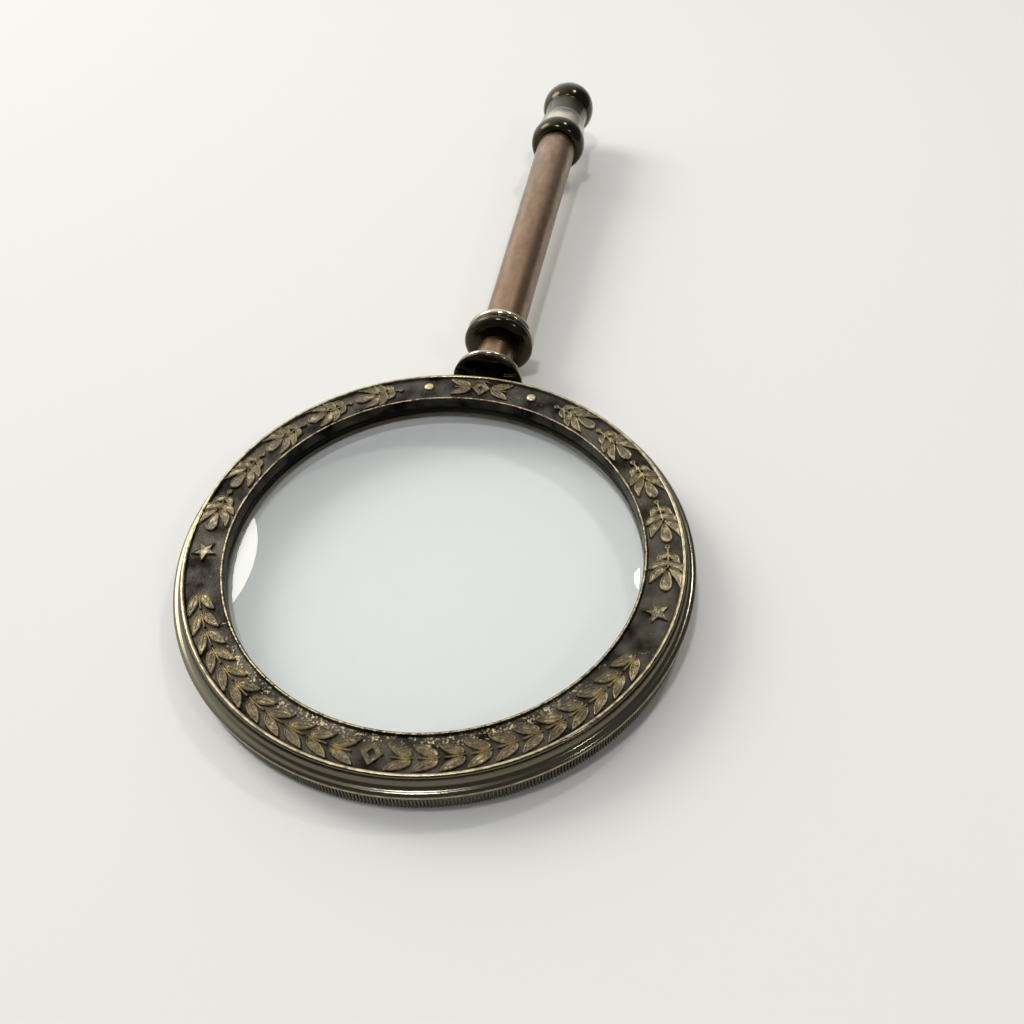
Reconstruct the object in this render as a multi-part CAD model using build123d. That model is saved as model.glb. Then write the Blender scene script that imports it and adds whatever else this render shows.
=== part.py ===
from build123d import *
import math
import os

# A desk magnifying glass: a cast brass rim that holds a round lens, and a turned handle.
# Millimetres. The origin is the centre of the lens, +Z is the lens's axis, pointing out of
# the decorated face, and +Y is the handle's axis, pointing from the rim to the ball.

# Driving dimensions of the rim and the lens.
FACE_R = 51.0            # outside of the bead round the decorated face
APERTURE_R = 42.5        # clear opening
RIM_HALF = 4.4           # half of the rim's thickness
LENS_R = 45.0
LENS_EDGE_HALF = 1.25    # half of the lens's thickness at its edge
LENS_SAG = 2.75          # how far each convex face stands above the lens's edge
PACKING = 0.4            # thickness of the packing rings, front and rear
THREAD_R = 46.0          # thread of the retaining ring
LIP_R = 53.2             # rounded lip half-way down the rim's edge
REED_R = 52.8            # crest of the fine reeding under the lip

# Driving dimensions of the handle: where each turned piece starts and ends along +Y.
BOSS_END = 53.6
NECK_START = 56.2
NECK_END = 66.0
GRIP_START = 71.8
GRIP_END = 165.5
FINIAL_START = 170.8
BALL_CENTRE = 192.3
BALL_R = 8.3
ROD_R = 2.5
NECK_R = 4.55
GRIP_NEAR_R = 5.25
GRIP_FAR_R = 6.0
GRIP_BORE_R = 4.05
SPIGOT_LENGTH = 3.0      # how far the collars' spigots reach into the grip
WASHER_R = 4.4
WASHER_THICKNESS = 1.2
TAPPING_DEPTH = 6.4      # tapped hole in the rim's boss
ROD_IN_BOSS = 6.0        # how far the rod reaches into it
ROD_IN_BALL = 11.5
BALL_TAPPING_DEPTH = 13.0

# Fits.
RUNNING = 0.05           # radial clearance of every thread and every piece on the rod
FACE_GAP = 0.05          # between faces that slide on each other when a thread turns

RIM_TOP = RIM_HALF
RIM_BOTTOM = -RIM_HALF
PACKING_START = LENS_EDGE_HALF + 0.25
SEAT = PACKING_START + PACKING
HOLE_R = ROD_R + RUNNING
CHAMFER = 0.4


def outline(start, *steps):
    """Closed face from straight steps (end,) and arc steps (middle, end)."""
    edges = []
    here = start
    for step in steps:
        if len(step) == 1:
            edges.append(Line(here, step[0]))
        else:
            edges.append(ThreePointArc(here, step[0], step[1]))
        here = step[-1]
    edges.append(Line(here, start))
    return make_face(edges)


def turned_about_lens_axis(face):
    """Revolve an outline drawn as (radius, height)."""
    return revolve(Plane.XZ * face, Axis.Z, 360)


def turned_about_handle(face):
    """Revolve an outline drawn as (radius, distance along the handle)."""
    return revolve(face, Axis.Y, 360)


def rod_along_handle(radius, start, end):
    return turned_about_handle(outline((0, start), ((radius, start),), ((radius, end),), ((0, end),)))


def make_rim():
    """Cast rim: face with two beads, cove, rounded lip, reeded band, and the bores for the lens."""
    field = RIM_TOP - 0.6          # floor of the face between its two beads
    bead_foot = RIM_TOP - 0.45
    inner_bead_r = APERTURE_R + 0.7
    outer_bead_r = FACE_R - 1.0
    section = outline(
        (APERTURE_R, SEAT),
        ((APERTURE_R, bead_foot),),
        ((APERTURE_R + 0.35, RIM_TOP), (inner_bead_r, bead_foot)),
        ((inner_bead_r + 0.1, field),),
        ((outer_bead_r - 0.1, field),),
        ((outer_bead_r, bead_foot),),
        ((FACE_R - 0.5, RIM_TOP), (FACE_R, bead_foot)),
        ((FACE_R + 0.25, 2.35), (FACE_R + 1.1, 1.6)),
        ((LIP_R, 0.75), (REED_R, -0.1)),
        ((REED_R, RIM_BOTTOM + CHAMFER),),
        ((REED_R - CHAMFER, RIM_BOTTOM),),
        ((THREAD_R + CHAMFER, RIM_BOTTOM),),
        ((THREAD_R + RUNNING, RIM_BOTTOM + CHAMFER),),
        ((THREAD_R + RUNNING, -SEAT),),
        ((LENS_R + 0.1, -SEAT),),
        ((LENS_R + 0.1, SEAT),),
    )
    boss_start = LENS_R + 3
    boss_r = RIM_HALF - 0.2
    rim = turned_about_lens_axis(section) + rod_along_handle(boss_r, boss_start, BOSS_END)
    return rim - rod_along_handle(HOLE_R, BOSS_END - TAPPING_DEPTH, BOSS_END + 1)


def make_lens():
    """Biconvex lens, both faces of the same curvature."""
    centre_half = LENS_EDGE_HALF + LENS_SAG
    curvature_r = (LENS_R**2 + LENS_SAG**2) / (2 * LENS_SAG)
    mid_r = LENS_R / 2
    mid_z = centre_half - (curvature_r - math.sqrt(curvature_r**2 - mid_r**2))
    return turned_about_lens_axis(outline(
        (0, -centre_half),
        ((mid_r, -mid_z), (LENS_R, -LENS_EDGE_HALF)),
        ((LENS_R, LENS_EDGE_HALF),),
        ((mid_r, mid_z), (0, centre_half)),
    ))


def make_packing(bottom):
    """Thin flat ring that keeps the glass off the metal."""
    inner_r = APERTURE_R + 0.7
    return turned_about_lens_axis(outline(
        (inner_r, bottom),
        ((LENS_R, bottom),),
        ((LENS_R, bottom + PACKING),),
        ((inner_r, bottom + PACKING),),
    ))


def make_retaining_ring():
    """Threaded ring screwed in from the rear, with two slots for a flat spanner."""
    top = -SEAT - FACE_GAP
    slot_width = 2.2
    slot_depth = 1.1
    ring = turned_about_lens_axis(outline(
        (APERTURE_R, top),
        ((THREAD_R, top),),
        ((THREAD_R, RIM_BOTTOM + CHAMFER),),
        ((THREAD_R - CHAMFER, RIM_BOTTOM),),
        ((APERTURE_R + CHAMFER, RIM_BOTTOM),),
        ((APERTURE_R, RIM_BOTTOM + CHAMFER),),
    ))
    slots = Pos(0, 0, RIM_BOTTOM) * Box(3 * THREAD_R, slot_width, 2 * slot_depth)
    return ring - slots


def make_collar(start, end, near_r, dome_r, far_r, beads):
    """Collar of the handle: a dome towards the rim, then half-round beads, each (length, radius)."""
    dome_end = end - sum(length for length, radius in beads)
    dome_top = start + 0.7 * (dome_end - start)
    edges = [
        Line((HOLE_R, start), (near_r, start)),
        Spline((near_r, start), (dome_r, dome_top), tangents=[(1, 0), (0, 1)]),
        Spline((dome_r, dome_top), (far_r, dome_end), tangents=[(0, 1), (-1, 1)]),
    ]
    here = dome_end
    for length, radius in beads:
        edges.append(ThreePointArc((far_r, here), (radius, here + length / 2), (far_r, here + length)))
        here += length
    edges.append(Line((far_r, end), (HOLE_R, end)))
    edges.append(Line((HOLE_R, end), (HOLE_R, start)))
    return turned_about_handle(make_face(edges))


def make_spigot(start, end):
    """Short sleeve on a collar that centres the hollow grip on the rod."""
    sleeve = rod_along_handle(GRIP_BORE_R - RUNNING, start, end)
    return sleeve - rod_along_handle(HOLE_R, start - 1, end + 1)


def make_lower_collar():
    """Low collar against the rim, with two fine beads towards the neck."""
    beads = ((0.5, 8.25), (1.4, 8.3))
    start = BOSS_END + FACE_GAP
    return make_collar(start, NECK_START, near_r=7.6, dome_r=8.5, far_r=7.8, beads=beads)


def make_neck():
    """Short tube between the two collars at the rim."""
    tube = rod_along_handle(NECK_R, NECK_START, NECK_END)
    return tube - rod_along_handle(HOLE_R, NECK_START - 1, NECK_END + 1)


def make_upper_collar():
    """Domed collar at the near end of the grip, with two beads towards it."""
    beads = ((0.8, 8.4), (1.9, 8.6))
    collar = make_collar(NECK_END, GRIP_START, near_r=5.0, dome_r=8.7, far_r=7.85, beads=beads)
    return collar + make_spigot(GRIP_START, GRIP_START + SPIGOT_LENGTH)


def make_grip():
    """Hollow grip, a little thicker towards the ball."""
    return turned_about_handle(outline(
        (GRIP_BORE_R, GRIP_START),
        ((GRIP_NEAR_R, GRIP_START),),
        ((GRIP_FAR_R, GRIP_END),),
        ((GRIP_BORE_R, GRIP_END),),
    ))


def make_end_collar():
    """Collar at the far end of the grip, recessed for the spring washer."""
    collar = make_collar(GRIP_END, FINIAL_START, near_r=6.4, dome_r=8.45, far_r=8.2, beads=())
    recess_start = FINIAL_START - WASHER_THICKNESS - FACE_GAP
    recess = rod_along_handle(WASHER_R + RUNNING, recess_start, FINIAL_START + 1)
    return collar + make_spigot(GRIP_END - SPIGOT_LENGTH, GRIP_END) - recess


def make_spring_washer():
    """Split washer that keeps the ball tight on its thread."""
    start = FINIAL_START - WASHER_THICKNESS
    end = FINIAL_START - FACE_GAP / 2
    split = 0.8
    disc = rod_along_handle(WASHER_R, start, end)
    hole = rod_along_handle(HOLE_R, start - 1, end + 1)
    gap = Pos(WASHER_R / 2, (start + end) / 2, 0) * Box(WASHER_R, 2 * WASHER_THICKNESS, split)
    return disc - hole - gap


def make_tie_rod():
    """Rod from the tapped boss of the rim, through the whole handle, into the ball."""
    return rod_along_handle(ROD_R, BOSS_END - ROD_IN_BOSS, FINIAL_START + ROD_IN_BALL)


def make_ball_finial():
    """Ball on a flared foot, tapped for the rod."""
    foot = FINIAL_START + FACE_GAP / 2
    foot_r = 7.6
    waist = FINIAL_START + 10.4
    waist_r = 6.5
    flare = (waist_r + 0.3, FINIAL_START + 4.4)
    throat_r = 7.1
    throat = BALL_CENTRE - math.sqrt(BALL_R**2 - throat_r**2)
    shoulder = (waist_r + 0.15, (waist + throat) / 2)
    hole_end = FINIAL_START + BALL_TAPPING_DEPTH
    return turned_about_handle(outline(
        (HOLE_R, foot),
        ((foot_r, foot),),
        (flare, (waist_r, waist)),
        (shoulder, (throat_r, throat)),
        ((BALL_R, BALL_CENTRE), (0, BALL_CENTRE + BALL_R)),
        ((0, hole_end),),
        ((HOLE_R, hole_end),),
    ))


PIECES = {
    "rim": make_rim(),
    "front_packing_ring": make_packing(PACKING_START),
    "lens": make_lens(),
    "rear_packing_ring": make_packing(-SEAT),
    "retaining_ring": make_retaining_ring(),
    "tie_rod": make_tie_rod(),
    "lower_collar": make_lower_collar(),
    "neck": make_neck(),
    "upper_collar": make_upper_collar(),
    "grip": make_grip(),
    "end_collar": make_end_collar(),
    "spring_washer": make_spring_washer(),
    "ball_finial": make_ball_finial(),
}

os.makedirs("parts", exist_ok=True)
for node, shape in PIECES.items():
    export_step(shape, f"parts/{node}.step")
    print(node, round(shape.volume, 1), "mm3")
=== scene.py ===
# %% [markdown]
# # A desk magnifying glass
#
# The object is a round convex lens in a cast brass rim, with a turned handle screwed into the rim's edge.
# The CAD frame says where every piece is. This lesson gives the pieces their finished shapes and metals.
# The frame's axes: +Z comes out of the decorated face, +Y runs from the lens along the handle to the ball.

# %% Load the frame
import math

import bmesh
import bpy
from mathutils import Matrix, Vector, noise


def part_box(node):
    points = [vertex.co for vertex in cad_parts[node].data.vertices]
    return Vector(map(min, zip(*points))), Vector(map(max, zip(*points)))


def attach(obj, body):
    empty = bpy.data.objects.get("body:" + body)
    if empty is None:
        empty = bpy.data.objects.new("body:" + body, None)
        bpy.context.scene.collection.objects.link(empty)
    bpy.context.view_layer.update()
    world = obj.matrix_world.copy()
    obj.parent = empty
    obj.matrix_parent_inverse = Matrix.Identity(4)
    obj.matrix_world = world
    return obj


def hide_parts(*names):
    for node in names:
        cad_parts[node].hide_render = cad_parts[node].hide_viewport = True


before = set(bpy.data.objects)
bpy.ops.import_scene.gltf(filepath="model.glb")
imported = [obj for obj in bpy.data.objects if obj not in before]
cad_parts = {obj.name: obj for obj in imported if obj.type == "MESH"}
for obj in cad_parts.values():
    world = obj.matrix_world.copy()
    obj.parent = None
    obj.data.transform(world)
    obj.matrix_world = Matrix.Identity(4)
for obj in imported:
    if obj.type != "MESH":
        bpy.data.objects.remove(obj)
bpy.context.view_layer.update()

MM = 0.001
print("nodes in the frame:", ", ".join(sorted(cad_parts)))

# %% [markdown]
# ## Colours and nodes
#
# Colours are written as people write them, as sRGB hex values, and one function turns them into the linear
# values that the shaders need. One more function adds a node of any kind with its settings and its links.

# %% Two helpers for every material and every node tree
def linear(hexa):
    """Linear RGBA of an sRGB hex colour."""
    parts = [int(hexa[i:i + 2], 16) / 255 for i in (1, 3, 5)]
    return (*(p / 12.92 if p <= 0.04045 else ((p + 0.055) / 1.055) ** 2.4 for p in parts), 1.0)


def add(tree, kind, inputs=None, **settings):
    """Add a node. inputs maps a socket's name or number to a value, an output or a list of outputs."""
    node = tree.nodes.new(kind)
    for key, value in settings.items():
        setattr(node, key, value)
    for key, values in (inputs or {}).items():
        for value in values if isinstance(values, list) else [values]:
            if isinstance(value, bpy.types.NodeSocket):
                tree.links.new(value, node.inputs[key])
            else:
                node.inputs[key].default_value = value
    return node


def new_material(name):
    """An empty material: its node tree and its output node."""
    material = bpy.data.materials.new(name)
    material.use_nodes = True
    material.node_tree.nodes.clear()
    return material, material.node_tree, add(material.node_tree, "ShaderNodeOutputMaterial")


print("brass yellow as linear light:", [round(c, 3) for c in linear("#C9B27C")])

# %% [markdown]
# ## Antiqued cast brass
#
# The rim is a brass casting that was blackened in a bath and then rubbed on a wheel. The wheel only reaches
# what stands up, so the beads and the ornament are pale gold, and the field between them keeps the black.
# The wear follows the shape, so it can't be a pattern in space: each mesh carries a number called rubbed,
# 0 in the hollows and 1 on the crests. A second number, cast, is 1 where the sand skin is whole, less on the
# smooth leaves, and 0 where a tool has cut it away.

# %% Antiqued cast brass
def antiqued_cast_brass():
    # Cast brass, chemically blackened and buffed: a dull grey sheen in the field, bright worn edges.
    material, tree, output = new_material("antiqued_cast_brass")
    place = add(tree, "ShaderNodeTexCoord").outputs["Object"]
    rubbed = add(tree, "ShaderNodeAttribute", attribute_name="rubbed").outputs["Fac"]
    cast = add(tree, "ShaderNodeAttribute", attribute_name="cast").outputs["Fac"]
    # The wheel skips: wear is broken up in patches about 1.5 mm wide.
    patches = add(tree, "ShaderNodeTexNoise", {"Vector": place, "Scale": 1 / (1.5 * MM), "Detail": 4.0})
    uneven = add(tree, "ShaderNodeMath", {0: patches.outputs["Fac"], 1: 0.9, 2: -0.45},
                 operation="MULTIPLY_ADD")
    worn = add(tree, "ShaderNodeMath", {0: rubbed, 1: uneven.outputs[0]}, operation="ADD")
    # Sand grains leave a stipple of about 0.45 mm on the cast skin, and the grains' tips are rubbed too.
    grains = add(tree, "ShaderNodeTexNoise", {"Vector": place, "Scale": 1 / (0.45 * MM), "Detail": 3.0})
    tips = add(tree, "ShaderNodeMath", {0: grains.outputs["Fac"], 1: 1.6, 2: -0.8}, operation="MULTIPLY_ADD")
    worn = add(tree, "ShaderNodeMath", {0: cast, 1: tips.outputs[0], 2: worn.outputs[0]},
               operation="MULTIPLY_ADD")
    mask = add(tree, "ShaderNodeMapRange", {
        "Value": worn.outputs[0], "From Min": 0.3, "From Max": 0.75}, interpolation_type="SMOOTHSTEP")
    # The black isn't even: browner and greyer clouds about 5 mm across.
    clouds = add(tree, "ShaderNodeTexNoise", {"Vector": place, "Scale": 1 / (5 * MM), "Detail": 6.0})
    spread = add(tree, "ShaderNodeMapRange", {
        "Value": clouds.outputs["Fac"], "From Min": 0.35, "From Max": 0.65})
    black = add(tree, "ShaderNodeMix", {
        "Factor": spread.outputs["Result"], "A": linear("#14120F"), "B": linear("#4B4740")},
        data_type="RGBA")
    dark = add(tree, "ShaderNodeMix", {
        "Factor": cast, "A": linear("#656152"), "B": black.outputs["Result"]}, data_type="RGBA")
    gold = add(tree, "ShaderNodeMix", {
        "Factor": patches.outputs["Fac"], "A": linear("#8C7B5C"), "B": linear("#CEBE97")}, data_type="RGBA")
    colour = add(tree, "ShaderNodeMix", {
        "Factor": mask.outputs["Result"], "A": dark.outputs["Result"], "B": gold.outputs["Result"]},
        data_type="RGBA")
    # Cast skin scatters light, the cove is polished, and the rubbed crests lie between.
    skin = add(tree, "ShaderNodeMapRange", {"Value": cast, "To Min": 0.16, "To Max": 0.46})
    rough = add(tree, "ShaderNodeMix", {
        "Factor": mask.outputs["Result"], "A": skin.outputs["Result"], "B": 0.4})
    depth = add(tree, "ShaderNodeMapRange", {"Value": cast, "To Min": 0.03, "To Max": 0.8})
    bump = add(tree, "ShaderNodeBump", {
        "Strength": depth.outputs["Result"], "Distance": 0.15 * MM, "Height": grains.outputs["Fac"]})
    shader = add(tree, "ShaderNodeBsdfPrincipled", {
        "Base Color": colour.outputs["Result"], "Metallic": 1.0, "Roughness": rough.outputs["Result"],
        "Normal": bump.outputs["Normal"]})
    tree.links.new(shader.outputs["BSDF"], output.inputs["Surface"])
    return material


CAST_BRASS = antiqued_cast_brass()
print("made", CAST_BRASS.name)

# %% [markdown]
# ## Polished dark brass
#
# The collars and the ball are the same brass, blackened after turning and then polished like a black mirror.
# What the eye reads is the room in them, so the colour is very dark and the surface very smooth. The beads,
# the edges and the flared foot carry a pale warm colour, marked by the rubbed attribute: partly metal that a
# hand has worn back, partly a painted highlight and a painted reflection of the bright room.

# %% Polished dark brass
def polished_dark_brass():
    # Turned, blackened and polished brass: sharp dark reflections, faint hand marks, and pale warm crests
    # that are partly worn metal and partly a painted highlight.
    material, tree, output = new_material("polished_dark_brass")
    place = add(tree, "ShaderNodeTexCoord").outputs["Object"]
    rubbed = add(tree, "ShaderNodeAttribute", attribute_name="rubbed").outputs["Fac"]
    clouds = add(tree, "ShaderNodeTexNoise", {"Vector": place, "Scale": 1 / (4 * MM), "Detail": 4.0})
    black = add(tree, "ShaderNodeMix", {
        "Factor": clouds.outputs["Fac"], "A": linear("#26221A"), "B": linear("#454033")}, data_type="RGBA")
    uneven = add(tree, "ShaderNodeMath", {0: clouds.outputs["Fac"], 1: 0.6, 2: -0.3},
                 operation="MULTIPLY_ADD")
    worn = add(tree, "ShaderNodeMath", {0: rubbed, 1: uneven.outputs[0]}, operation="ADD")
    mask = add(tree, "ShaderNodeMapRange", {
        "Value": worn.outputs[0], "From Min": 0.35, "From Max": 0.95}, interpolation_type="SMOOTHSTEP")
    # The pale colour on the beads and the ball's foot is partly worn metal and partly a painted highlight and
    # painted reflection of the bright room.
    colour = add(tree, "ShaderNodeMix", {
        "Factor": mask.outputs["Result"], "A": black.outputs["Result"], "B": linear("#B8AE94")},
        data_type="RGBA")
    # Finger marks about 6 mm across dull the polish a little.
    marks = add(tree, "ShaderNodeTexNoise", {"Vector": place, "Scale": 1 / (6 * MM), "Detail": 6.0})
    rough = add(tree, "ShaderNodeMapRange", {
        "Value": marks.outputs["Fac"], "From Min": 0.35, "From Max": 0.7, "To Min": 0.12, "To Max": 0.22})
    shader = add(tree, "ShaderNodeBsdfPrincipled", {
        "Base Color": colour.outputs["Result"], "Metallic": 1.0, "Roughness": rough.outputs["Result"]})
    tree.links.new(shader.outputs["BSDF"], output.inputs["Surface"])
    return material


DARK_BRASS = polished_dark_brass()
print("made", DARK_BRASS.name)

# %% [markdown]
# ## Satin antique bronze
#
# The grip and the neck are drawn tube with a thin brown patina, rubbed along its length with fine abrasive.
# The rubbing leaves long hair lines, so the noise is stretched along the handle: 0.1 mm across, 25 mm long.

# %% Satin antique bronze
def satin_antique_bronze():
    # Drawn bronze tube with a rubbed brown patina: broad soft highlights drawn out along the handle.
    material, tree, output = new_material("satin_antique_bronze")
    place = add(tree, "ShaderNodeTexCoord").outputs["Object"]
    along = add(tree, "ShaderNodeMapping", {"Vector": place, "Scale": (1.0, 0.004, 1.0)})
    hair = add(tree, "ShaderNodeTexNoise", {
        "Vector": along.outputs["Vector"], "Scale": 1 / (0.1 * MM), "Detail": 2.0})
    wide = add(tree, "ShaderNodeMapping", {"Vector": place, "Scale": (1.0, 0.35, 1.0)})
    streaks = add(tree, "ShaderNodeTexNoise", {
        "Vector": wide.outputs["Vector"], "Scale": 1 / (2.2 * MM), "Detail": 5.0, "Roughness": 0.6})
    patina = add(tree, "ShaderNodeValToRGB", {"Fac": streaks.outputs["Fac"]})
    patina.color_ramp.elements[0].position = 0.3
    patina.color_ramp.elements[0].color = linear("#5C4A3A")
    patina.color_ramp.elements[1].position = 0.7
    patina.color_ramp.elements[1].color = linear("#987B61")
    colour = add(tree, "ShaderNodeMix", {
        "Factor": hair.outputs["Fac"], "A": patina.outputs["Color"], "B": linear("#7E6751")},
        data_type="RGBA")
    rough = add(tree, "ShaderNodeMapRange", {
        "Value": streaks.outputs["Fac"], "From Min": 0.3, "From Max": 0.7, "To Min": 0.36, "To Max": 0.26})
    bump = add(tree, "ShaderNodeBump", {
        "Strength": 0.12, "Distance": 0.02 * MM, "Height": hair.outputs["Fac"]})
    shader = add(tree, "ShaderNodeBsdfPrincipled", {
        "Base Color": colour.outputs["Result"], "Metallic": 1.0, "Roughness": rough.outputs["Result"],
        "Normal": bump.outputs["Normal"]})
    tree.links.new(shader.outputs["BSDF"], output.inputs["Surface"])
    return material


BRONZE = satin_antique_bronze()
print("made", BRONZE.name)

# %% [markdown]
# ## Crown glass
#
# The lens is polished crown glass, IOR 1.52, which bends and mirrors light but has almost no colour.
# Light has to reach the table through it once and only once, so a shader that lets light straight through
# takes the place of the glass for the two kinds of ray that light a surface: shadow rays and diffuse rays.

# %% Crown glass
def crown_glass():
    # Ground and polished crown glass: clear, with a trace of blue-green in its thickness.
    material, tree, output = new_material("crown_glass")
    glass = add(tree, "ShaderNodeBsdfPrincipled", {
        "Base Color": linear("#FAFDFD"), "Roughness": 0.0, "IOR": 1.52, "Transmission Weight": 1.0})
    clear = add(tree, "ShaderNodeBsdfTransparent", {"Color": linear("#F9FBFB")})
    ray = add(tree, "ShaderNodeLightPath")
    lights_the_table = add(tree, "ShaderNodeMath", {
        0: ray.outputs["Is Shadow Ray"], 1: ray.outputs["Is Diffuse Ray"]}, operation="MAXIMUM")
    surface = add(tree, "ShaderNodeMixShader", {
        0: lights_the_table.outputs[0], 1: glass.outputs["BSDF"], 2: clear.outputs["BSDF"]})
    tree.links.new(surface.outputs["Shader"], output.inputs["Surface"])
    return material


GLASS = crown_glass()
print("made", GLASS.name)

# %% [markdown]
# ## Packing card, blackened turned brass and bright steel
#
# Three plainer finishes for the pieces inside and behind: black card rings that keep the glass off the
# metal, the turned ring that holds the glass from the rear, and the drawn steel rod and its washer.

# %% Packing card
def packing_card():
    # Pressed black card: matt, with fibres about 0.3 mm long that lift the surface.
    material, tree, output = new_material("packing_card")
    place = add(tree, "ShaderNodeTexCoord").outputs["Object"]
    fibres = add(tree, "ShaderNodeTexNoise", {"Vector": place, "Scale": 1 / (0.3 * MM), "Detail": 6.0})
    colour = add(tree, "ShaderNodeMix", {
        "Factor": fibres.outputs["Fac"], "A": linear("#12110F"), "B": linear("#2B2925")}, data_type="RGBA")
    bump = add(tree, "ShaderNodeBump", {
        "Strength": 0.5, "Distance": 0.05 * MM, "Height": fibres.outputs["Fac"]})
    shader = add(tree, "ShaderNodeBsdfPrincipled", {
        "Base Color": colour.outputs["Result"], "Roughness": 0.9, "Normal": bump.outputs["Normal"]})
    tree.links.new(shader.outputs["BSDF"], output.inputs["Surface"])
    return material


CARD = packing_card()
print("made", CARD.name)


# %% Blackened turned brass
def blackened_turned_brass():
    # Turned brass, blackened and left as it came from the lathe: fine rings, a soft black shine.
    material, tree, output = new_material("blackened_turned_brass")
    place = add(tree, "ShaderNodeTexCoord").outputs["Object"]
    # The tool fed across the face and left rings round the lens's axis. They are about 0.2 mm apart, and are
    # drawn 1.2566 mm apart so that they show. A wave's scale is 2 pi / 20 over the distance it repeats in.
    rings = add(tree, "ShaderNodeTexWave", {
        "Vector": place, "Scale": 2 * math.pi / (20 * 1.2566 * MM), "Distortion": 0.4, "Detail": 2.0},
        wave_type="RINGS", rings_direction="Z")
    clouds = add(tree, "ShaderNodeTexNoise", {"Vector": place, "Scale": 1 / (7 * MM), "Detail": 5.0})
    colour = add(tree, "ShaderNodeMix", {
        "Factor": clouds.outputs["Fac"], "A": linear("#3B352A"), "B": linear("#6E6350")}, data_type="RGBA")
    rough = add(tree, "ShaderNodeMapRange", {"Value": rings.outputs["Fac"], "To Min": 0.28, "To Max": 0.42})
    bump = add(tree, "ShaderNodeBump", {
        "Strength": 0.25, "Distance": 0.03 * MM, "Height": rings.outputs["Fac"]})
    shader = add(tree, "ShaderNodeBsdfPrincipled", {
        "Base Color": colour.outputs["Result"], "Metallic": 1.0, "Roughness": rough.outputs["Result"],
        "Normal": bump.outputs["Normal"]})
    tree.links.new(shader.outputs["BSDF"], output.inputs["Surface"])
    return material


TURNED_BRASS = blackened_turned_brass()
print("made", TURNED_BRASS.name)


# %% Bright drawn steel
def bright_drawn_steel():
    # Cold-drawn steel: grey, with draw lines along its length.
    material, tree, output = new_material("bright_drawn_steel")
    place = add(tree, "ShaderNodeTexCoord").outputs["Object"]
    along = add(tree, "ShaderNodeMapping", {"Vector": place, "Scale": (1.0, 0.01, 1.0)})
    lines = add(tree, "ShaderNodeTexNoise", {
        "Vector": along.outputs["Vector"], "Scale": 1 / (0.15 * MM), "Detail": 3.0})
    colour = add(tree, "ShaderNodeMix", {
        "Factor": lines.outputs["Fac"], "A": linear("#8B8B89"), "B": linear("#B9B8B4")}, data_type="RGBA")
    rough = add(tree, "ShaderNodeMapRange", {"Value": lines.outputs["Fac"], "To Min": 0.22, "To Max": 0.4})
    shader = add(tree, "ShaderNodeBsdfPrincipled", {
        "Base Color": colour.outputs["Result"], "Metallic": 1.0, "Roughness": rough.outputs["Result"]})
    tree.links.new(shader.outputs["BSDF"], output.inputs["Surface"])
    return material


STEEL = bright_drawn_steel()
print("made", STEEL.name)

# %% [markdown]
# ## A lathe
#
# Nearly every piece was made on a lathe, so the tool here is one too: it turns a closed outline round the
# lens's axis or the handle's. An outline is a list of (radius, height) in millimetres. Its round stretches
# are quarters of ellipses, worked out by one function, and a bead is two of them back to back.

# %% Outline helpers
def quarter(start, end, leaving, steps=8):
    """Points after start on a quarter of an ellipse to end, leaving start "across" or "along" the axis."""
    points = []
    for i in range(1, steps + 1):
        turn = math.pi / 2 * i / steps
        early, late = math.sin(turn), 1 - math.cos(turn)
        across, along = (early, late) if leaving == "across" else (late, early)
        points.append((start[0] + (end[0] - start[0]) * across, start[1] + (end[1] - start[1]) * along))
    return points


def bead(start, crest, end, leaving, steps=6):
    """A rounded bead from start over crest to end."""
    other = "along" if leaving == "across" else "across"
    return quarter(start, crest, leaving, steps) + quarter(crest, end, other, steps)


print("a bead of", len(bead((0, 0), (1, 1), (2, 0), "along")), "points")

# %% The lathe
def turned(name, outline, about, steps, marks=None):
    """Turn a closed outline about the "lens" or the "handle" axis. marks: {attribute: f(radius, height)}."""
    shape = bmesh.new()
    layers = {mark: shape.verts.layers.float.new(mark) for mark in (marks or {})}
    rings = []
    for radius, height in outline:
        ring = []
        for i in range(steps if radius > 0 else 1):
            turn = 2 * math.pi * i / steps
            u, v = radius * math.cos(turn) * MM, radius * math.sin(turn) * MM
            ring.append(shape.verts.new((u, v, height * MM) if about == "lens" else (u, height * MM, v)))
            for mark, layer in layers.items():
                ring[-1][layer] = marks[mark](radius, height)
        rings.append(ring)
    for a, b in zip(rings, rings[1:] + rings[:1]):
        for i in range(steps):
            corners = [a[i % len(a)], a[(i + 1) % len(a)], b[(i + 1) % len(b)], b[i % len(b)]]
            face = list(dict.fromkeys(corners))
            if len(face) > 2:
                shape.faces.new(face)
    bmesh.ops.recalc_face_normals(shape, faces=shape.faces)
    mesh = bpy.data.meshes.new(name)
    shape.to_mesh(mesh)
    shape.free()
    piece = bpy.data.objects.new(name, mesh)
    bpy.context.scene.collection.objects.link(piece)
    return piece


EDGE_ANGLE = math.radians(38)     # faces that meet at more than this show an edge


def finished(piece, material, body, slot, *nodes):
    """Shade the piece, give it its material and hang it on its body."""
    piece.data.shade_smooth()
    piece.data.set_sharp_from_angle(angle=EDGE_ANGLE)
    piece.data.materials.clear()
    piece.data.materials.append(material)
    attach(piece, body)
    if nodes:
        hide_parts(*nodes)
    print(piece.name, len(piece.data.polygons), "faces, on", body)
    return piece


# %% [markdown]
# ## The rim
#
# One casting: a flat decorated field between a thin inner bead and a thicker outer bead, a smooth cove, a
# rounded lip, and a band under it for the reeding. Behind the field are the seat for the glass and the bore
# for the retaining ring. The outline below runs round all of that. Cast metal is never quite flat, so the
# field and the beads wander by a few hundredths of a millimetre.

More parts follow.
